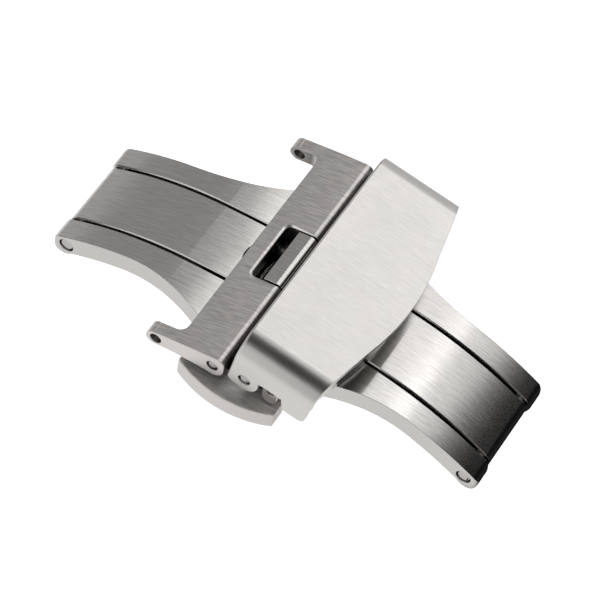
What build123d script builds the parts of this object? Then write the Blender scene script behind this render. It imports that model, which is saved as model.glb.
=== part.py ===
from build123d import *
from math import asin, cos, radians, sin, sqrt
import os

# Butterfly deployant clasp for a two-piece watch strap, closed, in millimetres.
# X runs along the strap, from the lug link at -X to the strap cover at +X.
# Y runs across the strap, with the two push pieces at -Y and +Y.
# Z is up and away from the wrist. Z = 0 is the surface that the closed clasp
# stands on, touched by the knuckles of both end hinges.

# Widths across the clasp, for a strap of the named width
strap_width = 20.0
ear_thickness = 1.1
clasp_half_width = strap_width / 2 + ear_thickness

# Side curve that the frame and both leaves share, crest at the middle
crest_radius = 79.0
blend_x = 8.76
hinge_x = 18.147
hinge_fall = 4.356
hinge_depth = 0.909
knuckle_radius = 0.95
knuckle_reach = 0.31

# Clearances and overruns
running = 0.03
sliding = 0.05
side_play = 0.08
overrun = 2.0

# Frame: two forked rails that flare into the latch housing
rail_half_width = 5.2
flare_start = 13.0
flare_radius = 17.0
leaf_gap = 0.24
fork_root = 7.4
housing_half_length = 4.25
housing_setback = 2.4
housing_half_width = clasp_half_width - housing_setback
boss_half_length = 5.6
boss_inset = 0.3
aperture_radius = 3.35
rail_corner = 0.4
edge_break = 0.08

# Leaves
leaf_half_width = 2.95
leaf_thickness = 1.25
leaf_sink = 0.03
leaf_rise = 0.07
leaf_knuckle = 0.9
leaf_reach = 0.17
leaf_end = 0.8
view_hole_radius = 1.86
view_hole_x = 3.39
barrel_half_width = 2.64
barrel_radius = 1.0
barrel_left = 0.71

# Pins
end_pin_radius = 0.65
end_pin_recess = 0.1
pin_radius = 0.5
pin_recess = 0.1
pin_dome = 0.16

# Lug link, with the two ears that take the strap's spring bar
link_pin_x = -1.47
link_pin_rise = 1.1
nose_slope = 12.0
nose_height = 1.017
nose_reach = 0.99
nose_corner = 0.54
nose_drop = 1.04
barrel_inset = 0.02
ear_hole_x = -6.45
ear_hole_rise = 0.37
ear_hole_radius = 0.5
ear_end_x = -6.6
ear_end_rise = 0.33
ear_end_radius = 0.72
ear_waist_x = -5.6
ear_waist_rise = -0.17
web_left_x = -4.68
web_left_rise = -0.04
web_heel_x = -2.1
web_heel_rise = 0.1
web_crown = 0.05
ear_corner = 0.7
window_left_x = -3.3
window_half_width = 2.8
window_corner = 0.45
rim_angle = 62.0
rim_depth = 0.06

# Strap cover, a tall cap on the cover pin, tilted down towards its mouth
cover_pin_x = 1.3
cover_pin_rise = 1.64
cover_tilt = 7.27
cover_left_x = 0.403
cover_top_rise = 5.61
cover_bend = 2.04
cover_wall = 0.5
cover_lip = 2.6
cover_edge_round = 0.2
mouth_length = 8.753
mouth_shoulder = 8.136
mouth_shoulder_half_width = 5.0
skirt_length = 6.84
skirt_depth = 4.3
skirt_corner = 0.6
recess_depth = 3.1
recess_start = 2.95
recess_end = 4.55
recess_slope = 0.4
lobe_radius = 1.2
lobe_angle = 30.0
lobe_toe = 0.45
lobe_toe_depth = 4.9
lobe_heel_depth = 4.5

# Strap cradle inside the cover, with the bar that carries the tongue
cradle_inset = 1.2
cradle_lift = 0.13
cradle_floor_rise = 0.42
cradle_rim_width = 0.7
cradle_rim_height = 1.1
cradle_knuckle = 0.75
cradle_root_back = 0.3
cradle_root_front = 0.9
cradle_ear_thickness = 0.6
cradle_ear_width = 1.27
cradle_ear_foot_rise = 0.3
strap_bar_x = 3.34
strap_bar_rise = 1.12
strap_bar_radius = 0.4
tongue_half_width = 0.7
tongue_eye_radius = 0.62
tongue_tip_x = 7.4
tongue_tip_top = 0.3
tongue_tip_bottom = 0.22

# Push pieces and the latch
head_half_length = 4.25
head_arc_radius = 9.5
head_overhang = 1.05
head_play = 0.15
head_top_drop = 0.55
head_bottom_drop = 2.2
push_travel = 0.8
slide_thickness = 0.5
slide_half_length = 3.5
slide_seat = 0.8
slide_root = 4.2
slide_reach = 2.4
slide_split = 0.25
catch_length = 0.65
catch_near_side = 0.9
catch_far_side = 0.6
catch_head = 0.3
catch_head_height = 0.2
catch_window_play = 0.3
catch_seat = 0.08
guide_pin_radius = 0.45
guide_pin_setback = 2.3

# Housing plate and its rivets
plate_thickness = 0.4
rivet_radius = 0.45
rivet_length = 1.3
rivet_margin = 1.0

# Places worked out from the sizes above
rail_thickness = 2 * hinge_depth
blend_angle = asin(blend_x / crest_radius)
core_radius = crest_radius - hinge_depth
run_x = hinge_x - core_radius * sin(blend_angle)
run_z = crest_radius - hinge_fall - core_radius * cos(blend_angle)
run_normal = run_x * sin(blend_angle) + run_z * cos(blend_angle)
end_radius = -(run_x**2 + run_z**2) / (2 * run_normal) + hinge_depth
end_centre_x = (crest_radius - end_radius) * sin(blend_angle)
end_centre_fall = crest_radius - (crest_radius - end_radius) * cos(blend_angle)
hinge_span = end_centre_x + end_radius * (hinge_x - end_centre_x) / (end_radius - hinge_depth)


def curve_fall(span, drop):
    """Point of the side curve from its crest, with the outer surface at this span, set in by drop."""
    side = 1 if span >= 0 else -1
    if abs(span) <= blend_x:
        radius, centre_x, centre_fall = crest_radius, 0, crest_radius
    else:
        radius, centre_x, centre_fall = end_radius, end_centre_x, end_centre_fall
    angle = asin((abs(span) - centre_x) / radius)
    return (side * (centre_x + (radius - drop) * sin(angle)), (radius - drop) * cos(angle) - centre_fall)


knuckle_span = hinge_span + knuckle_reach
knuckle_x, knuckle_fall = curve_fall(knuckle_span, knuckle_radius)
crest_height = knuckle_radius - knuckle_fall
hinge_z = crest_height - hinge_fall
slot_half_width = leaf_half_width + leaf_gap
channel_depth = leaf_sink + leaf_thickness + side_play
head_inner_face = housing_half_width + push_travel + head_play
head_apex = clasp_half_width + head_overhang
guide_pin_y = housing_half_width - guide_pin_setback
link_pin_z = crest_height + link_pin_rise
cover_pin_z = crest_height + cover_pin_rise
strap_bar_z = crest_height + strap_bar_rise
head_top = crest_height - head_top_drop
slide_bottom = crest_height - head_bottom_drop
slide_top = slide_bottom + slide_thickness
plate_top = slide_bottom - sliding
plate_bottom = plate_top - plate_thickness
pocket_top = slide_top + sliding
pocket_half_length = slide_half_length + side_play
catch_bottom = slide_bottom
catch_top = crest_height - leaf_sink + leaf_rise - leaf_thickness + catch_seat
cover_bore = pin_radius + running
slope = radians(nose_slope)
high = crest_height + cover_top_rise + overrun


def curve_point(span, drop, rise=0):
    """Point at a depth of the side curve, lifted by rise at the crest and by nothing at the hinges."""
    x, z = curve_fall(span, drop - rise * (1 - abs(span) / hinge_span))
    return (x, crest_height + z)


def draw_curve(start, stop, drop, rise):
    """Arcs of the side curve from one span to another."""
    low, top = min(start, stop), max(start, stop)
    stops = [low] + [x for x in (-blend_x, blend_x) if low < x < top] + [top]
    if start > stop:
        stops.reverse()
    for a, b in zip(stops, stops[1:]):
        middle = curve_point((a + b) / 2, drop, rise)
        ThreePointArc(curve_point(a, drop, rise), middle, curve_point(b, drop, rise))


def draw_band(start, stop, upper, lower, rise=0):
    """Face between two depths of the side curve."""
    with BuildLine() as outline:
        draw_curve(start, stop, upper, rise)
        Line(curve_point(stop, upper, rise), curve_point(stop, lower, rise))
        draw_curve(stop, start, lower, rise)
        Line(curve_point(start, lower, rise), curve_point(start, upper, rise))
    make_face(outline.edges())


def flank(x):
    """Half width of the flared rails at x."""
    if abs(x) >= flare_start:
        return rail_half_width
    return rail_half_width + flare_radius - sqrt(flare_radius**2 - (flare_start - abs(x))**2)


def draw_flared_plan(half_length, inset):
    """Plan of the rails and their flare, cut at half_length and set in."""
    middle = (half_length + housing_half_length) / 2
    wide = housing_half_width - inset
    root = flank(housing_half_length) - inset
    with BuildLine() as outline:
        if half_length > flare_start:
            middle = (flare_start + housing_half_length) / 2
            Line((half_length, -rail_half_width), (flare_start, -rail_half_width))
            ThreePointArc(
                (flare_start, -rail_half_width), (middle, -flank(middle)), (housing_half_length, -root)
            )
            Line((half_length, -rail_half_width), (half_length, 0))
        else:
            ThreePointArc(
                (half_length, -flank(half_length) + inset),
                (middle, -flank(middle) + inset),
                (housing_half_length, -root),
            )
            Line((half_length, -flank(half_length) + inset), (half_length, 0))
        Line((housing_half_length, -root), (housing_half_length, -wide))
        Line((housing_half_length, -wide), (0, -wide))
        mirror(about=Plane.XZ)
        mirror(about=Plane.YZ)
    make_face(outline.edges())


def draw_nose(inset):
    """Rounded upper corner beside the link pin, from the sloping top face to the upright front."""
    height, reach = nose_height - inset, nose_reach - inset
    centre_x = link_pin_x + reach - nose_corner
    centre_z = link_pin_z + (height - nose_corner + (reach - nose_corner) * sin(slope)) / cos(slope)
    turn = (radians(90) + slope) / 2
    start = (centre_x - nose_corner * sin(slope), centre_z + nose_corner * cos(slope))
    ThreePointArc(
        start,
        (centre_x + nose_corner * cos(turn), centre_z + nose_corner * sin(turn)),
        (centre_x + nose_corner, centre_z),
    )
    Line((centre_x + nose_corner, centre_z), (link_pin_x + reach, link_pin_z))
    return start


def domed_pin(radius, half_length, dome):
    """Pin across the clasp, with domed ends."""
    Cylinder(radius, 2 * half_length, rotation=(90, 0, 0))
    chamfer(edges().filter_by(GeomType.CIRCLE), dome)


def break_edges(start, stop, drop, rise, half_width):
    """Chamfer on the two long edges of a band's outer surface."""
    for y in (-half_width, half_width):
        with BuildLine(Plane.XZ.offset(y)) as path:
            draw_curve(start, stop, drop, rise)
        with BuildSketch(Plane(origin=path.line @ 0, z_dir=path.line % 0)) as section:
            RegularPolygon(edge_break, 4)
        sweep(section.sketch, path=path.line, mode=Mode.SUBTRACT)


# Rivets, midway between the slides' pocket and the ends of the housing
rivet_x = (boss_half_length + pocket_half_length) / 2
rivet_y = flank(boss_half_length) - boss_inset - rivet_margin

# Frame, with its forked rails, channel, latch pocket and round aperture
with BuildPart() as base_frame:
    with BuildSketch(Plane.XZ):
        draw_band(-knuckle_span, knuckle_span, 0, rail_thickness)
        with Locations((-knuckle_x, knuckle_radius), (knuckle_x, knuckle_radius)):
            Circle(knuckle_radius)
    extrude(amount=housing_half_width, both=True)
    frame_half_length = knuckle_x + knuckle_radius
    fork_length = frame_half_length - fork_root
    fork_middle = (frame_half_length + fork_root) / 2
    with BuildSketch(Plane.XY):
        draw_flared_plan(frame_half_length, 0)
        with Locations((-fork_middle, 0), (fork_middle, 0)):
            Rectangle(fork_length, 2 * slot_half_width, mode=Mode.SUBTRACT)
        fillet(vertices().group_by(Axis.X)[0] + vertices().group_by(Axis.X)[-1], rail_corner)
    extrude(amount=high, mode=Mode.INTERSECT)
    with BuildSketch(Plane.XY.offset(plate_top)):
        draw_flared_plan(boss_half_length, boss_inset)
    extrude(amount=crest_height - channel_depth - plate_top)
    with BuildSketch(Plane.XZ):
        draw_band(-blend_x, blend_x, -overrun, channel_depth)
    extrude(amount=slot_half_width, both=True, mode=Mode.SUBTRACT)
    break_edges(-knuckle_span, knuckle_span, 0, 0, slot_half_width)
    with BuildSketch(Plane.XY.offset(plate_top)):
        Rectangle(2 * pocket_half_length, 2 * (housing_half_width + overrun))
    extrude(amount=pocket_top - plate_top, mode=Mode.SUBTRACT)
    with BuildSketch(Plane.XY.offset(plate_top)):
        Circle(aperture_radius)
    extrude(amount=crest_height - channel_depth + side_play - plate_top, mode=Mode.SUBTRACT)
    with Locations((-hinge_x, 0, hinge_z), (hinge_x, 0, hinge_z)):
        Cylinder(end_pin_radius, 2 * housing_half_width, rotation=(90, 0, 0), mode=Mode.SUBTRACT)
    with BuildSketch(Plane.XY.offset(plate_top)):
        with GridLocations(2 * rivet_x, 2 * rivet_y, 2, 2):
            Circle(rivet_radius)
    extrude(amount=rivet_length - plate_thickness, mode=Mode.SUBTRACT)
base_frame.part.label = "base_frame"

# End pins, pressed into the rails
end_pins = []
for name, side in (("left_end_pin", -1), ("right_end_pin", 1)):
    with BuildPart() as end_pin:
        with Locations((side * hinge_x, 0, hinge_z)):
            domed_pin(end_pin_radius, rail_half_width - end_pin_recess, pin_dome)
    end_pin.part.label = name
    end_pins.append(end_pin.part)

# Left leaf, with the view hole and the barrel of the lug link
leaf_span = hinge_span + leaf_reach
leaf_knuckle_x, leaf_knuckle_z = curve_point(leaf_span, leaf_sink + leaf_knuckle)
barrel_corner_z = link_pin_z + (nose_height - barrel_inset - barrel_left * sin(slope)) / cos(slope)
with BuildPart() as left_leaf:
    with BuildSketch(Plane.XZ):
        draw_band(-leaf_span, -leaf_end, leaf_sink, leaf_sink + leaf_thickness, leaf_rise)
        with Locations((-leaf_knuckle_x, leaf_knuckle_z)):
            Circle(leaf_knuckle)
    extrude(amount=leaf_half_width, both=True)
    break_edges(-leaf_span, -leaf_end, leaf_sink, leaf_rise, leaf_half_width)
    with BuildSketch(Plane.XY):
        with Locations((-view_hole_x, 0)):
            Circle(view_hole_radius)
    extrude(amount=high, mode=Mode.SUBTRACT)
    neck_bottom = curve_point(-leaf_end, leaf_sink + leaf_thickness / 2)[1]
    with BuildSketch(Plane.XZ):
        with Locations((link_pin_x, link_pin_z)):
            Circle(barrel_radius)
        with BuildLine():
            barrel_top = draw_nose(barrel_inset)
            Polyline(
                barrel_top,
                (link_pin_x - barrel_left, barrel_corner_z),
                (link_pin_x - barrel_left, neck_bottom),
                (-leaf_end, neck_bottom),
                (-leaf_end, link_pin_z),
                (link_pin_x + nose_reach - barrel_inset, link_pin_z),
            )
        make_face()
        with Locations((link_pin_x - barrel_left, link_pin_z)):
            Rectangle(barrel_radius, 2 * barrel_radius, align=(Align.MAX, Align.CENTER), mode=Mode.SUBTRACT)
    extrude(amount=barrel_half_width, both=True)
    with BuildSketch(Plane.XY):
        with Locations((-leaf_end - catch_length / 2, (catch_far_side - catch_near_side) / 2)):
            Rectangle(catch_length, catch_near_side + catch_far_side)
    extrude(amount=catch_top, mode=Mode.SUBTRACT)
    with Locations((link_pin_x, 0, link_pin_z)):
        Cylinder(pin_radius + running, 2 * clasp_half_width, rotation=(90, 0, 0), mode=Mode.SUBTRACT)
    with Locations((-hinge_x, 0, hinge_z)):
        Cylinder(end_pin_radius + running, 2 * clasp_half_width, rotation=(90, 0, 0), mode=Mode.SUBTRACT)
left_leaf.part.label = "left_leaf"

# Right leaf, with the barrel that holds the cover pin
with BuildPart() as right_leaf:
    with BuildSketch(Plane.XZ):
        draw_band(leaf_end, leaf_span, leaf_sink, leaf_sink + leaf_thickness, leaf_rise)
        with Locations((leaf_knuckle_x, leaf_knuckle_z)):
            Circle(leaf_knuckle)
    extrude(amount=leaf_half_width, both=True)
    break_edges(leaf_end, leaf_span, leaf_sink, leaf_rise, leaf_half_width)
    neck_bottom = curve_point(leaf_end, leaf_sink + leaf_thickness / 2)[1]
    with BuildSketch(Plane.XZ):
        with Locations((cover_pin_x, cover_pin_z)):
            Circle(barrel_radius)
        with BuildLine():
            Polyline(
                (leaf_end, cover_pin_z),
                (leaf_end, neck_bottom),
                (cover_pin_x + barrel_radius, neck_bottom),
                (cover_pin_x + barrel_radius, cover_pin_z),
                close=True,
            )
        make_face()
    extrude(amount=barrel_half_width, both=True)
    with BuildSketch(Plane.XY):
        with Locations((leaf_end + catch_length / 2, (catch_near_side - catch_far_side) / 2)):
            Rectangle(catch_length, catch_near_side + catch_far_side)
    extrude(amount=catch_top, mode=Mode.SUBTRACT)
    with Locations((cover_pin_x, 0, cover_pin_z)):
        Cylinder(pin_radius, 2 * clasp_half_width, rotation=(90, 0, 0), mode=Mode.SUBTRACT)
    with Locations((hinge_x, 0, hinge_z)):
        Cylinder(end_pin_radius + running, 2 * clasp_half_width, rotation=(90, 0, 0), mode=Mode.SUBTRACT)
right_leaf.part.label = "right_leaf"

# Lug link: side profile across the whole width, opened between the ears and for the barrel
with BuildPart() as lug_link:
    ear_top = (ear_end_x, crest_height + ear_end_rise + ear_end_radius)
    ear_bottom = (ear_end_x, crest_height + ear_end_rise - ear_end_radius)
    with BuildSketch(Plane.XZ):
        with BuildLine():
            nose_top = draw_nose(0)
            crown = ((nose_top[0] + ear_top[0]) / 2, (nose_top[1] + ear_top[1]) / 2 + web_crown)
            ThreePointArc(ear_top, crown, nose_top)
            ThreePointArc(
                (link_pin_x + nose_reach, link_pin_z),
                (link_pin_x + nose_reach * cos(radians(45)), link_pin_z - nose_drop * sin(radians(45))),
                (link_pin_x, link_pin_z - nose_drop),
            )
            Polyline(
                (link_pin_x, link_pin_z - nose_drop),
                (web_heel_x, crest_height + web_heel_rise),
                (web_left_x, crest_height + web_left_rise),
                (ear_waist_x, crest_height + ear_waist_rise),
                ear_bottom,
            )
            ThreePointArc(
                ear_bottom,
                (ear_end_x - ear_end_radius, crest_height + ear_end_rise),
                ear_top,
            )
        make_face()
    extrude(amount=clasp_half_width, both=True)
    ear_inside = clasp_half_width - ear_thickness
    with BuildSketch(Plane.XY):
        with Locations((web_left_x, 0)):
            Rectangle(clasp_half_width, 2 * ear_inside, align=(Align.MAX, Align.CENTER))
        fillet(vertices().group_by(Axis.X)[-1], ear_corner)
    extrude(amount=high, mode=Mode.SUBTRACT)
    with BuildSketch(Plane.XY):
        with Locations((window_left_x, 0)):
            Rectangle(clasp_half_width, 2 * window_half_width, align=(Align.MIN, Align.CENTER))
        fillet(vertices().group_by(Axis.X)[0], window_corner)
    extrude(amount=high, mode=Mode.SUBTRACT)
    top_face = Plane(
        origin=(nose_top[0], 0, nose_top[1]),
        x_dir=(cos(slope), 0, sin(slope)),
        z_dir=(-sin(slope), 0, cos(slope)),
    )
    with BuildSketch(top_face.offset(-rim_depth)):
        with Locations(((window_left_x - nose_top[0]) / cos(slope), 0)):
            Rectangle(clasp_half_width, 2 * window_half_width, align=(Align.MIN, Align.CENTER))
        fillet(vertices().group_by(Axis.X)[0], window_corner)
    extrude(amount=2 * web_crown + rim_depth, taper=-rim_angle, mode=Mode.SUBTRACT)
    with Locations((link_pin_x, 0, link_pin_z)):
        Cylinder(pin_radius, 2 * clasp_half_width, rotation=(90, 0, 0), mode=Mode.SUBTRACT)
    with Locations((ear_hole_x, 0, crest_height + ear_hole_rise)):
        Cylinder(ear_hole_radius, 2 * clasp_half_width, rotation=(90, 0, 0), mode=Mode.SUBTRACT)
lug_link.part.label = "lug_link"

# Pin of the lug link, pressed into the link, and the pin of the cover, pressed into the right leaf
with BuildPart() as lug_link_pin:
    with Locations((link_pin_x, 0, link_pin_z)):
        domed_pin(pin_radius, clasp_half_width - pin_recess, pin_dome)
lug_link_pin.part.label = "lug_link_pin"

with BuildPart() as cover_pin:
    with Locations((cover_pin_x, 0, cover_pin_z)):
        domed_pin(pin_radius, clasp_half_width - pin_recess, pin_dome)
cover_pin.part.label = "cover_pin"

# Strap cover, modelled in its own tilted plane: local X along it, local Z up from its top face
tilt = radians(cover_tilt)
lobe_shoulder = radians(lobe_angle)
cover_origin = (cover_left_x, 0, crest_height + cover_top_rise)
cover_along = (cos(tilt), 0, -sin(tilt))
cover_top_plane = Plane(origin=cover_origin, x_dir=cover_along, z_dir=(sin(tilt), 0, cos(tilt)))
cover_side_plane = Plane(origin=cover_origin, x_dir=cover_along, z_dir=(0, -1, 0))
pin_from_origin = Vector(cover_pin_x - cover_left_x, 0, cover_pin_rise - cover_top_rise)
pin_along = pin_from_origin.dot(cover_top_plane.x_dir)
pin_down = -pin_from_origin.dot(cover_top_plane.z_dir)


def draw_cover_plan():
    """Plan of the cover: straight back, straight sides and a rounded mouth edge."""
    shoulder = mouth_shoulder_half_width
    with BuildLine() as outline:
        Polyline(
            (mouth_shoulder, -shoulder),
            (skirt_length, -clasp_half_width),
            (0, -clasp_half_width),
            (0, clasp_half_width),
            (skirt_length, clasp_half_width),
            (mouth_shoulder, shoulder),
        )
        ThreePointArc((mouth_shoulder, shoulder), (mouth_length, 0), (mouth_shoulder, -shoulder))
    make_face(outline.edges())


def draw_cover_section(half_width, bend, top):
    """Section across the cover: flat top and two bent sides, open below."""
    with BuildLine() as outline:
        Polyline((-half_width, -lobe_toe_depth - overrun), (-half_width, top - bend))
        RadiusArc((-half_width, top - bend), (-half_width + bend, top), bend)
        Line((-half_width + bend, top), (half_width - bend, top))
        RadiusArc((half_width - bend, top), (half_width, top - bend), bend)
        Polyline(
            (half_width, top - bend),
            (half_width, -lobe_toe_depth - overrun),
            (-half_width, -lobe_toe_depth - overrun),
        )
    make_face(outline.edges())


def draw_cover_side():
    """Side of the cover: top plate, skirt, recess over the strap bar and hinge lobe."""
    with BuildLine() as outline:
        Polyline(
            (0, 0),
            (mouth_length + overrun, 0),
            (mouth_length + overrun, -cover_wall - cover_bend),
            (skirt_length, -cover_wall - cover_bend),
            (skirt_length, -skirt_depth),
            (recess_end + recess_slope, -skirt_depth),
            (recess_end, -recess_depth),
            (recess_start, -recess_depth),
            (pin_along + lobe_radius * cos(lobe_shoulder), -pin_down + lobe_radius * sin(lobe_shoulder)),
            (pin_along, -pin_down),
            (pin_along, -pin_down - lobe_radius),
            (lobe_toe, -lobe_toe_depth),
            (0, -lobe_heel_depth),
            close=True,
        )
    make_face(outline.edges())
    fillet(vertices().sort_by_distance((skirt_length, -skirt_depth))[0], skirt_corner)
    with Locations((pin_along, -pin_down)):
        Circle(lobe_radius)


section_plane = Plane(origin=cover_origin, x_dir=(0, 1, 0), z_dir=cover_along)
with BuildPart() as strap_cover:
    with BuildSketch(section_plane):
        draw_cover_section(clasp_half_width, cover_bend, 0)
    extrude(amount=mouth_length + overrun)
    back = faces().sort_by(Axis.X)[0].edges().sort_by(Axis.Z)[1:]
    fillet(back, cover_edge_round)
    with BuildSketch(section_plane.offset(cover_wall)):
        draw_cover_section(clasp_half_width - cover_wall, cover_bend - cover_wall, -cover_wall)
    extrude(amount=mouth_length + overrun, mode=Mode.SUBTRACT)
    with BuildSketch(cover_top_plane.offset(-lobe_toe_depth - overrun)):
        draw_cover_plan()
    extrude(amount=lobe_toe_depth + 2 * overrun, mode=Mode.INTERSECT)
    with BuildSketch(cover_side_plane):
        draw_cover_side()
    extrude(amount=clasp_half_width, both=True, mode=Mode.INTERSECT)
    with BuildSketch(cover_side_plane):
        with BuildLine():
            Polyline(
                (-overrun, -cover_lip),
                (2 * cover_wall, -cover_lip),
                (2 * cover_wall, -lobe_toe_depth - overrun),
                (-overrun, -lobe_toe_depth - overrun),
                close=True,
            )
        make_face()
    extrude(amount=clasp_half_width - cover_wall, both=True, mode=Mode.SUBTRACT)
    with Locations((cover_pin_x, 0, cover_pin_z)):
        Cylinder(cover_bore, 2 * clasp_half_width, rotation=(90, 0, 0), mode=Mode.SUBTRACT)
strap_cover.part.label = "strap_cover"

# Strap cradle: a plate on the right leaf, with its rim, ears and hinge knuckles
cradle_half_width = clasp_half_width - cover_wall - side_play
cradle_bottom = curve_point(cover_pin_x, -cradle_lift)[1]
cradle_floor = crest_height + cradle_floor_rise
cradle_ear_foot_z = crest_height + cradle_ear_foot_rise


def mouth_x(length):
    """X of the cradle's edge under a point of the cover's mouth edge."""
    return cover_left_x + length * cos(tilt) - cradle_inset


def draw_cradle_plan(back_x, inset):
    """Plan of the cradle, parallel to the cover's mouth edge."""
    shoulder = mouth_shoulder_half_width
    side = cradle_half_width - cradle_ear_thickness - inset
    with BuildLine() as outline:
        Polyline(
            (mouth_x(mouth_shoulder) - inset, -shoulder),
            (mouth_x(skirt_length) - inset, -side),
            (back_x, -side),
            (back_x, side),
            (mouth_x(skirt_length) - inset, side),
            (mouth_x(mouth_shoulder) - inset, shoulder),
        )
        ThreePointArc(
            (mouth_x(mouth_shoulder) - inset, shoulder),
            (mouth_x(mouth_length) - inset, 0),
            (mouth_x(mouth_shoulder) - inset, -shoulder),
        )
    make_face(outline.edges())


with BuildPart() as strap_cradle:
    with BuildSketch(Plane.XZ):
        draw_band(-blend_x, blend_x, -cradle_lift - cradle_rim_height, -cradle_lift)
    extrude(amount=cradle_half_width, both=True)
    with BuildSketch(Plane.XY):
        draw_cradle_plan(cover_pin_x - cradle_root_back, 0)
    extrude(amount=high, mode=Mode.INTERSECT)
    with BuildSketch(Plane.XY.offset(cradle_floor)):
        draw_cradle_plan(-overrun, cradle_rim_width)
        Rectangle(
            mouth_x(skirt_length) - cradle_rim_width,
            2 * cradle_half_width,
            align=(Align.MIN, Align.CENTER),
        )
    extrude(amount=high, mode=Mode.SUBTRACT)
    with BuildSketch(Plane.XZ):
        with Locations((cover_pin_x, cover_pin_z)):
            Circle(cradle_knuckle)
        with BuildLine():
            Polyline(
                (cover_pin_x - cradle_root_back, cover_pin_z),
                (cover_pin_x - cradle_root_back, cradle_bottom),
                (cover_pin_x + cradle_root_front, cradle_bottom),
                (cover_pin_x + cradle_knuckle, cover_pin_z),
                close=True,
            )
        make_face()
    extrude(amount=cradle_half_width - cradle_ear_thickness, both=True)
    for side in (-1, 1):
        with BuildSketch(Plane.XZ.offset(side * cradle_half_width)):
            with Locations((strap_bar_x, strap_bar_z), (strap_bar_x, cradle_ear_foot_z)):
                Circle(cradle_ear_width / 2)
            with Locations((strap_bar_x, (strap_bar_z + cradle_ear_foot_z) / 2)):
                Rectangle(cradle_ear_width, strap_bar_z - cradle_ear_foot_z)
        extrude(amount=-side * cradle_ear_thickness)
    with BuildSketch(Plane.XY):
        Rectangle(
            cover_pin_x + link_pin_x - window_left_x,
            2 * window_half_width,
            align=(Align.MIN, Align.CENTER),
        )
    extrude(amount=high, mode=Mode.SUBTRACT)
    with Locations((cover_pin_x, 0, cover_pin_z)):
        Cylinder(cover_bore, 2 * clasp_half_width, rotation=(90, 0, 0), mode=Mode.SUBTRACT)
    with Locations((strap_bar_x, 0, strap_bar_z)):
        Cylinder(strap_bar_radius, 2 * clasp_half_width, rotation=(90, 0, 0), mode=Mode.SUBTRACT)
strap_cradle.part.label = "strap_cradle"

# Strap bar, pressed into the cradle's ears, and the tongue that swings on it
with BuildPart() as strap_bar:
    with Locations((strap_bar_x, 0, strap_bar_z)):
        Cylinder(strap_bar_radius, 2 * (cradle_half_width - pin_recess), rotation=(90, 0, 0))
strap_bar.part.label = "strap_bar"

with BuildPart() as strap_tongue:
    with BuildSketch(Plane.XZ):
        with Locations((strap_bar_x, strap_bar_z)):
            Circle(tongue_eye_radius)
        with BuildLine():
            Polyline(
                (strap_bar_x, strap_bar_z + tongue_eye_radius),
                (tongue_tip_x, strap_bar_z + tongue_tip_top),
                (tongue_tip_x, strap_bar_z - tongue_tip_bottom),
                (strap_bar_x, strap_bar_z - tongue_eye_radius),
                close=True,
            )
        make_face()
    extrude(amount=tongue_half_width, both=True)
    with Locations((strap_bar_x, 0, strap_bar_z)):
        Cylinder(strap_bar_radius + running, 2 * clasp_half_width, rotation=(90, 0, 0), mode=Mode.SUBTRACT)
strap_tongue.part.label = "strap_tongue"

# Push pieces: a crescent head outside the frame and a latch slide inside it.
# The far pair is the near pair turned half a turn about Z.
push_pieces = []
for name, turn in (("near", 0), ("far", 180)):
    with BuildPart() as push_head:
        with BuildSketch(Plane.XY.offset(slide_bottom)):
            with Locations((0, head_arc_radius - head_apex)):
                Circle(head_arc_radius)
            with Locations((0, -head_inner_face)):
                Rectangle(
                    2 * head_half_length,
                    head_apex,
                    align=(Align.CENTER, Align.MAX),
                    mode=Mode.INTERSECT,
                )
        extrude(amount=head_top - slide_bottom)
        chamfer(edges().group_by(Axis.Z)[-1].filter_by(GeomType.CIRCLE), edge_break)
        with Locations((0, -head_inner_face, slide_bottom)):
            Box(
                2 * slide_half_length,
                2 * slide_seat,
                2 * slide_thickness,
                mode=Mode.SUBTRACT,
            )
    with BuildPart() as push_slide:
        with BuildSketch(Plane.XY.offset(slide_bottom)):
            with BuildLine():
                Polyline(
                    (-slide_half_length, -head_inner_face - slide_seat),
                    (slide_half_length, -head_inner_face - slide_seat),
                    (slide_half_length, -slide_root),
                    (-slide_split, -slide_root),
                    (-slide_split, slide_reach),
                    (-slide_half_length, slide_reach),
                    close=True,
                )
            make_face()
        extrude(amount=slide_thickness)
        cut_depth = 2 * slide_thickness + overrun
        window_near = -catch_near_side - push_travel - sliding
        window_far = catch_far_side + catch_head + sliding
        window_length = catch_length + 2 * catch_window_play
        with Locations((-leaf_end - catch_length / 2, (window_near + window_far) / 2, slide_bottom)):
            Box(window_length, window_far - window_near, cut_depth, mode=Mode.SUBTRACT)
        with Locations((0, -guide_pin_y - push_travel / 2, slide_bottom)):
            Box(2 * guide_pin_radius + 2 * sliding, push_travel, cut_depth, mode=Mode.SUBTRACT)
        with Locations((0, -guide_pin_y, slide_bottom), (0, -guide_pin_y - push_travel, slide_bottom)):
            Cylinder(guide_pin_radius + sliding, cut_depth, mode=Mode.SUBTRACT)
    for piece, kind in ((push_head, "push_head"), (push_slide, "push_slide")):
        turned = piece.part.rotate(Axis.Z, turn)
        turned.label = kind + "_" + name
        push_pieces.append(turned)

# Catches, seated in the leaves' undersides and hooked by the slides
catches = []
for name, turn in (("left_catch", 0), ("right_catch", 180)):
    with BuildPart() as catch:
        with BuildSketch(Plane.XY.offset(catch_bottom)):
            with Locations((-leaf_end - catch_length / 2, 0)):
                with Locations((0, -catch_near_side)):
                    Rectangle(
                        catch_length,
                        catch_near_side + catch_far_side + catch_head,
                        align=(Align.CENTER, Align.MIN),
                    )
        extrude(amount=catch_head_height)
        with BuildSketch(Plane.XY.offset(catch_bottom)):
            with Locations((-leaf_end - catch_length / 2, -catch_near_side)):
                Rectangle(
                    catch_length,
                    catch_near_side + catch_far_side,
                    align=(Align.CENTER, Align.MIN),
                )
        extrude(amount=catch_top - catch_bottom)
    turned = catch.part.rotate(Axis.Z, turn)
    turned.label = name
    catches.append(turned)

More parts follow.
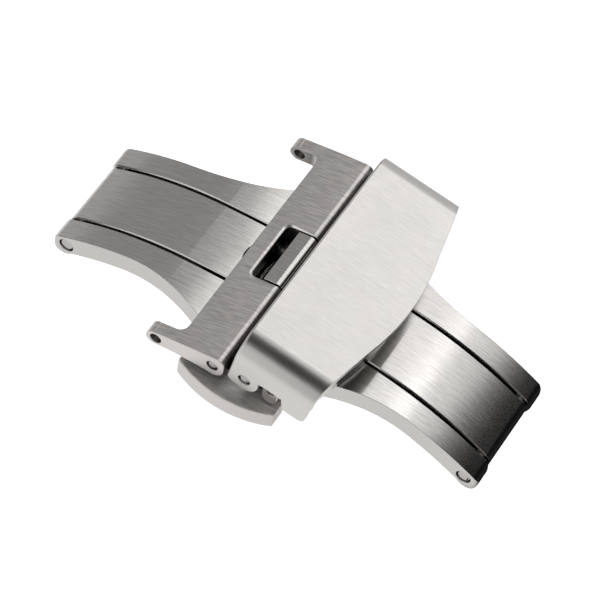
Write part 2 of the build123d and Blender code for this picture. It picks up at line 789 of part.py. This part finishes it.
# Guide pins, which limit the slides' travel
with BuildPart() as guide_pins:
    with BuildSketch(Plane.XY.offset(plate_top)):
        with Locations((0, -guide_pin_y), (0, guide_pin_y)):
            Circle(guide_pin_radius)
    extrude(amount=pocket_top - plate_top)
guide_pins.part.label = "guide_pins"

# Housing plate under the latch, and the rivets that hold it
with BuildPart() as housing_plate:
    with BuildSketch(Plane.XY.offset(plate_bottom)):
        draw_flared_plan(boss_half_length, boss_inset)
    extrude(amount=plate_thickness)
    with BuildSketch(Plane.XY.offset(plate_bottom)):
        with GridLocations(2 * rivet_x, 2 * rivet_y, 2, 2):
            Circle(rivet_radius)
    extrude(amount=plate_thickness, mode=Mode.SUBTRACT)
housing_plate.part.label = "housing_plate"

with BuildPart() as housing_rivets:
    with BuildSketch(Plane.XY.offset(plate_bottom)):
        with GridLocations(2 * rivet_x, 2 * rivet_y, 2, 2):
            Circle(rivet_radius)
    extrude(amount=rivet_length)
housing_rivets.part.label = "housing_rivets"

os.makedirs("parts", exist_ok=True)
pieces = [
    base_frame.part,
    housing_plate.part,
    housing_rivets.part,
    guide_pins.part,
    left_leaf.part,
    right_leaf.part,
    lug_link.part,
    lug_link_pin.part,
    cover_pin.part,
    strap_cover.part,
    strap_cradle.part,
    strap_bar.part,
    strap_tongue.part,
]
for piece in pieces + end_pins + push_pieces + catches:
    export_step(piece, "parts/" + piece.label + ".step")
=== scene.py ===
import bpy
from math import cos, pi, radians, sin
from mathutils import Matrix, Vector

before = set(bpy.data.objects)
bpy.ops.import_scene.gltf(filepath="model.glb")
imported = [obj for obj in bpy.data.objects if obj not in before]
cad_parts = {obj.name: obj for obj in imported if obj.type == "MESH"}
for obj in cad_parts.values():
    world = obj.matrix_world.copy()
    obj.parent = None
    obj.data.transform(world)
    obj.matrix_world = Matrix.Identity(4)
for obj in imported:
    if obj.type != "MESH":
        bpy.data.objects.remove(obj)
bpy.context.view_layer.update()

MM = 0.001

# Camera, at the photograph's viewing angle
VIEW_AZIMUTH = radians(21.2)
VIEW_ELEVATION = radians(56.32)
VIEW_ROLL = radians(12.12)
VIEW_DISTANCE = 251.73 * MM
VIEW_TARGET = Vector((0.315, -0.689, 4.241)) * MM
FOCAL_PIXELS = 3257.65
PHOTO_PIXELS = 600
SENSOR_WIDTH = 36
CLIP_FACTOR = 100

# Brush lines and stray scratches, their lengths counted in their own widths
BRUSH_WIDTH = 0.08 * MM
BRUSH_LENGTH = 28
BRUSH_DETAIL = 3
BRUSH_CHOP = 0.65
BRUSH_NOISE = (0.25, 0.75)
BRUSH_ROTATION = 0.25
SCRATCH_WIDTH = 0.13 * MM
SCRATCH_LENGTH = 9
SCRATCH_DETAIL = 2
SCRATCH_WAVER = 0.1
SCRATCH_TURN = radians(5)
SCRATCH_NOISE = (0.35, 0.65)

# Sideways reach of a normal at which the pattern starts to fade and is gone
FLANK_FADE = (0.5, 0.85)

# Uneven gloss, painted shade in nooks, soft edges and relief
CLOUD_SCALE = 180
CLOUD_DETAIL = 2
CLOUD_SPREAD = 0.15
PAINTED_SHADE_DARKEST = 0.04
PAINTED_SHADE_SAMPLES = 8
EDGE_SAMPLES = 6
RELIEF_STRENGTH = 0.15
RELIEF_DEPTH = 0.01 * MM

# Floor that the camera sees, below the lowest reach of the opened clasp
STAGE_SIZE = 2.0
FLOOR_HEIGHT = -8 * MM
FLOOR_COLOUR = (0.8, 0.8, 0.8, 1)
FLOOR_GLOW = 0.95

# Card that the metal reflects: pale in front, dim behind, pale again at the far left
CARD_HEIGHT = -0.02 * MM
CARD_FRONT = 0.85
CARD_BEHIND = 0.02
CARD_EDGE = 0.5 * MM
CARD_EDGE_WIDTH = 1.0 * MM
CARD_EDGE_SLOPE = 0.29
CARD_FAR = 0.6
CARD_FAR_START = 10 * MM
CARD_FAR_END = 18 * MM
CARD_FAR_SLOPE = -0.9

# World
DIM_COLOUR = (0.005, 0.005, 0.005, 1)
WHITE_COLOUR = (1, 1, 1, 1)

# Lamps: name, azimuth, elevation, width, height, level
LAMP_DISTANCE = 0.5
LAMPS = (
    ("key_softbox", 184, 53, 0.344, 0.4, 1.18),
    ("key_side_softbox", 145.5, 49, 0.11, 0.34, 1.1),
    ("left_softbox", 240, 30, 0.45, 0.55, 0.32),
    ("low_left_softbox", 240, 8, 0.45, 0.2, 0.15),
    ("front_softbox", 335, 26, 0.45, 0.42, 0.85),
    ("rim_softbox", 303, 49, 0.22, 0.22, 1.1),
    ("back_softbox", 187, 14, 0.3, 0.16, 0.7),
    ("right_softbox", 62, 35, 0.42, 0.42, 0.45),
)


def direction(azimuth, elevation):
    """Direction from the clasp to a camera or lamp."""
    return Vector((
        sin(azimuth) * cos(elevation),
        -cos(azimuth) * cos(elevation),
        sin(elevation),
    ))


def placed(target, back, distance, roll=0.0):
    """Matrix of a camera or lamp that looks at a point against the direction back."""
    right = Vector((0, 0, 1)).cross(back).normalized()
    right = right * cos(roll) + back.cross(right) * sin(roll)
    matrix = Matrix((right, back.cross(right), back)).transposed().to_4x4()
    matrix.translation = target + back * distance
    return matrix


def add_camera():
    data = bpy.data.cameras.new("camera")
    camera = bpy.data.objects.new("camera", data)
    bpy.context.scene.collection.objects.link(camera)
    back = direction(VIEW_AZIMUTH, VIEW_ELEVATION)
    camera.matrix_world = placed(VIEW_TARGET, back, VIEW_DISTANCE, VIEW_ROLL)
    data.sensor_fit = "HORIZONTAL"
    data.sensor_width = SENSOR_WIDTH
    data.lens = SENSOR_WIDTH * FOCAL_PIXELS / PHOTO_PIXELS
    data.clip_start = VIEW_DISTANCE / CLIP_FACTOR
    data.clip_end = VIEW_DISTANCE * CLIP_FACTOR
    bpy.context.scene.camera = camera


def node(tree, kind, x, y, **values):
    """Adds a shader node; values set its sockets or its attributes."""
    made = tree.nodes.new("ShaderNode" + kind)
    made.location = (x, y)
    for name, value in values.items():
        socket = made.inputs.get(name.replace("_", " "))
        if socket is None:
            setattr(made, name, value)
        else:
            socket.default_value = value
    return made


def remap(tree, x, y, value, source=(0.0, 1.0), result=(0.0, 1.0), smooth=False):
    """Output that turns one range of values into another."""
    made = node(
        tree,
        "MapRange",
        x,
        y,
        interpolation_type="SMOOTHSTEP" if smooth else "LINEAR",
        From_Min=source[0],
        From_Max=source[1],
        To_Min=result[0],
        To_Max=result[1],
    )
    tree.links.new(value, made.inputs["Value"])
    return made.outputs["Result"]


def noise(tree, x, y, vector, **values):
    """Output of a noise texture in the space of a vector."""
    made = node(tree, "TexNoise", x, y, **values)
    tree.links.new(vector, made.inputs["Vector"])
    return made.outputs["Fac"]


def joined(tree, x, y, operation, first, second):
    """Output of a Math node on two outputs."""
    made = node(tree, "Math", x, y, operation=operation)
    tree.links.new(first, made.inputs[0])
    tree.links.new(second, made.inputs[1])
    return made.outputs[0]


def reach_along(tree, x, y, vector, axis):
    """Output that says how far a vector reaches along an axis."""
    made = node(tree, "VectorMath", x, y, operation="DOT_PRODUCT")
    made.inputs[1].default_value = axis
    tree.links.new(vector, made.inputs[0])
    return made.outputs["Value"]


def mixed(tree, x, y, factor, first, second):
    """Output that goes from one shader to another."""
    made = node(tree, "MixShader", x, y)
    tree.links.new(factor, made.inputs["Fac"])
    tree.links.new(first, made.inputs[1])
    tree.links.new(second, made.inputs[2])
    return made.outputs[0]


def brush_pattern(tree, place, across, streak, scratch):
    """Brush lines and stray scratches; faces that look along Y stay plain."""
    link = tree.links.new
    stretch = node(
        tree,
        "Mapping",
        -1100,
        200,
        Scale=[1 / (BRUSH_WIDTH * (1 if axis else BRUSH_LENGTH)) for axis in across],
    )
    link(place.outputs["Object"], stretch.inputs["Vector"])
    lines = noise(
        tree,
        -800,
        250,
        stretch.outputs["Vector"],
        Scale=1.0,
        Detail=BRUSH_DETAIL,
        Roughness=BRUSH_CHOP,
    )
    fine = remap(tree, -500, 250, lines, BRUSH_NOISE, (1.0 - streak, 1.0 + streak))

    turned = node(
        tree,
        "Mapping",
        -1100,
        -100,
        vector_type="TEXTURE",
        Rotation=(0, 0, SCRATCH_TURN),
        Scale=[SCRATCH_WIDTH * (1 if axis else SCRATCH_LENGTH) for axis in across],
    )
    link(place.outputs["Object"], turned.inputs["Vector"])
    stray = noise(
        tree,
        -800,
        -100,
        turned.outputs["Vector"],
        Scale=1.0,
        Detail=SCRATCH_DETAIL,
        Distortion=SCRATCH_WAVER,
    )
    marks = remap(tree, -500, -50, stray, SCRATCH_NOISE, (1.0 - scratch, 1.0 + scratch))

    facing = reach_along(tree, -1100, 800, place.outputs["Normal"], (0, 1, 0))
    sideways = node(tree, "Math", -800, 800, operation="ABSOLUTE")
    link(facing, sideways.inputs[0])
    flank = remap(tree, -500, 800, sideways.outputs[0], FLANK_FADE, smooth=True)
    pattern = remap(tree, -100, 150, flank)
    both = joined(tree, -250, 150, "MULTIPLY", fine, marks)
    link(both, pattern.node.inputs["To Min"])
    return pattern


def brushed_steel(
    name,
    colour,
    roughness,
    along=(1, 0, 0),
    across=(0, 1, 0),
    streak=0.115,
    scratch=0.06,
    anisotropy=0.5,
    nook_painted_shade=(2.5, 0.13, 0.36),
    edge=0.06,
):
    """Satin steel whose base colour carries painted shade in hollows, set by a reach in mm and by
    the occlusion that counts as closed and as open; edge is in mm.
    """
    material = bpy.data.materials.new(name)
    material.use_nodes = True
    tree = material.node_tree
    tree.nodes.clear()
    link = tree.links.new
    output = node(tree, "OutputMaterial", 1100, 0)
    shader = node(
        tree,
        "BsdfPrincipled",
        800,
        0,
        Metallic=1.0,
        Anisotropic=anisotropy,
        Anisotropic_Rotation=BRUSH_ROTATION,
    )
    link(shader.outputs["BSDF"], output.inputs["Surface"])
    place = node(tree, "TexCoord", -1300, 0)
    pattern = brush_pattern(tree, place, across, streak, scratch)

    # Painted shade: ambient occlusion darkens the base colour in gaps, hollows and under
    # overhanging parts, down to a small fraction of it.
    reach, closed, open_air = nook_painted_shade
    nook_occlusion = node(
        tree, "AmbientOcclusion", -500, 550, samples=PAINTED_SHADE_SAMPLES, Distance=reach * MM
    )
    painted_shade_factor = remap(
        tree, -250, 550, nook_occlusion.outputs["AO"], (closed, open_air), (PAINTED_SHADE_DARKEST, 1.0), smooth=True
    )
    shade = node(tree, "VectorMath", 150, 250, operation="SCALE")
    shade.inputs[0].default_value = colour
    link(joined(tree, -50, 400, "MULTIPLY", painted_shade_factor, pattern), shade.inputs["Scale"])
    link(shade.outputs["Vector"], shader.inputs["Base Color"])

    clouds = noise(
        tree, -800, -400, place.outputs["Object"], Scale=CLOUD_SCALE, Detail=CLOUD_DETAIL
    )
    spread = (roughness * (1 - CLOUD_SPREAD), roughness * (1 + CLOUD_SPREAD))
    link(remap(tree, -500, -400, clouds, result=spread), shader.inputs["Roughness"])

    soft = node(tree, "Bevel", 250, -250, samples=EDGE_SAMPLES, Radius=edge * MM)
    relief = node(tree, "Bump", 500, -250, Strength=RELIEF_STRENGTH, Distance=RELIEF_DEPTH)
    link(pattern, relief.inputs["Height"])
    link(soft.outputs["Normal"], relief.inputs["Normal"])
    link(relief.outputs["Normal"], shader.inputs["Normal"])
    brush = node(tree, "CombineXYZ", 500, -500, X=along[0], Y=along[1], Z=along[2])
    link(brush.outputs["Vector"], shader.inputs["Tangent"])
    return material


def give(material, names):
    """Puts a material on CAD nodes."""
    for name in names:
        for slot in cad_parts[name].material_slots:
            slot.material = material


def add_materials():
    satin = brushed_steel("satin_steel", (0.65, 0.63, 0.61), 0.21)
    cover = brushed_steel(
        "cover_steel", (0.75, 0.728, 0.702), 0.31, streak=0.06, scratch=0.04
    )
    link = brushed_steel(
        "link_steel", (0.79, 0.757, 0.735), 0.38, scratch=0.14, nook_painted_shade=(3, 0.2, 0.75), edge=0.1
    )
    pins = brushed_steel(
        "pin_steel",
        (0.55, 0.54, 0.53),
        0.28,
        along=(0, 1, 0),
        across=(1, 0, 1),
        anisotropy=0.3,
    )
    heads = brushed_steel(
        "push_steel", (0.84, 0.81, 0.785), 0.58, scratch=0.12, nook_painted_shade=(1.5, 0.02, 0.2)
    )
    give(satin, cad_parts)
    give(cover, ["strap_cover"])
    give(link, ["lug_link"])
    give(heads, ["push_head_near", "push_head_far"])
    give(pins, ["housing_rivets", "guide_pins", "left_end_pin", "right_end_pin"])
    give(pins, ["lug_link_pin", "cover_pin", "strap_bar"])


def add_plane(name, height):
    """Wide stage plane with an empty material; gives its node tree and its surface socket."""
    bpy.ops.mesh.primitive_plane_add(size=STAGE_SIZE, location=(0, 0, height))
    plane = bpy.context.object
    plane.name = name
    material = bpy.data.materials.new(name + "_white")
    material.use_nodes = True
    tree = material.node_tree
    tree.nodes.clear()
    plane.data.materials.append(material)
    return tree, node(tree, "OutputMaterial", 900, 0).inputs["Surface"]


def add_floor():
    """Plain pale floor, white to the camera; it keeps the clasp's shadow."""
    tree, surface = add_plane("floor", FLOOR_HEIGHT)
    link = tree.links.new
    diffuse = node(tree, "BsdfDiffuse", 0, 300, Color=FLOOR_COLOUR)
    path = node(tree, "LightPath", -600, 200)
    camera = node(tree, "Math", -300, 150, operation="MULTIPLY")
    camera.inputs[1].default_value = FLOOR_GLOW
    link(path.outputs["Is Camera Ray"], camera.inputs[0])
    glow = node(tree, "Emission", 0, 100)
    link(camera.outputs[0], glow.inputs["Strength"])
    seen = node(tree, "AddShader", 300, 200)
    link(diffuse.outputs[0], seen.inputs[0])
    link(glow.outputs[0], seen.inputs[1])
    link(seen.outputs[0], surface)


def add_card():
    """Card at the clasp's foot that only the metal's reflections see."""
    tree, surface = add_plane("card", CARD_HEIGHT)
    link = tree.links.new
    path = node(tree, "LightPath", -600, 200)
    clear = node(tree, "BsdfTransparent", 300, 200)
    place = node(tree, "TexCoord", -900, -200).outputs["Object"]
    edge = reach_along(tree, -600, -200, place, (CARD_EDGE_SLOPE, 1, 0))
    ramp = remap(
        tree,
        -300,
        -200,
        edge,
        (CARD_EDGE - CARD_EDGE_WIDTH, CARD_EDGE + CARD_EDGE_WIDTH),
        (CARD_FRONT, CARD_BEHIND),
        smooth=True,
    )
    far = reach_along(tree, -600, -500, place, (CARD_FAR_SLOPE, 1, 0))
    far_ramp = remap(
        tree, -300, -500, far, (CARD_FAR_START, CARD_FAR_END), (0.0, CARD_FAR), smooth=True
    )
    pale = node(tree, "Emission", 100, -200)
    link(joined(tree, -100, -350, "MAXIMUM", ramp, far_ramp), pale.inputs["Strength"])
    glossy = path.outputs["Is Glossy Ray"]
    link(mixed(tree, 600, 0, glossy, clear.outputs[0], pale.outputs[0]), surface)


def add_world():
    """Dim surroundings, white to the camera."""
    world = bpy.data.worlds.new("studio")
    bpy.context.scene.world = world
    world.use_nodes = True
    tree = world.node_tree
    tree.nodes.clear()
    output = node(tree, "OutputWorld", 600, 0)
    dim = node(tree, "Background", 0, 150, Color=DIM_COLOUR)
    white = node(tree, "Background", 0, -150, Color=WHITE_COLOUR)
    camera = node(tree, "LightPath", -300, 300).outputs["Is Camera Ray"]
    surface = mixed(tree, 300, 0, camera, dim.outputs[0], white.outputs[0])
    tree.links.new(surface, output.inputs["Surface"])


def add_lamp(name, azimuth, elevation, width, height, level):
    """Soft rectangular lamp that points at the clasp; level 1 mirrors as white."""
    data = bpy.data.lights.new(name, "AREA")
    data.shape = "RECTANGLE"
    data.size = width
    data.size_y = height
    data.energy = level * pi * width * height
    lamp = bpy.data.objects.new(name, data)
    bpy.context.scene.collection.objects.link(lamp)
    back = direction(radians(azimuth), radians(elevation))
    lamp.matrix_world = placed(Vector((0, 0, 0)), back, LAMP_DISTANCE)


add_camera()
add_materials()
add_floor()
add_card()
add_world()
for lamp in LAMPS:
    add_lamp(*lamp)

bpy.context.scene.view_settings.view_transform = "Standard"
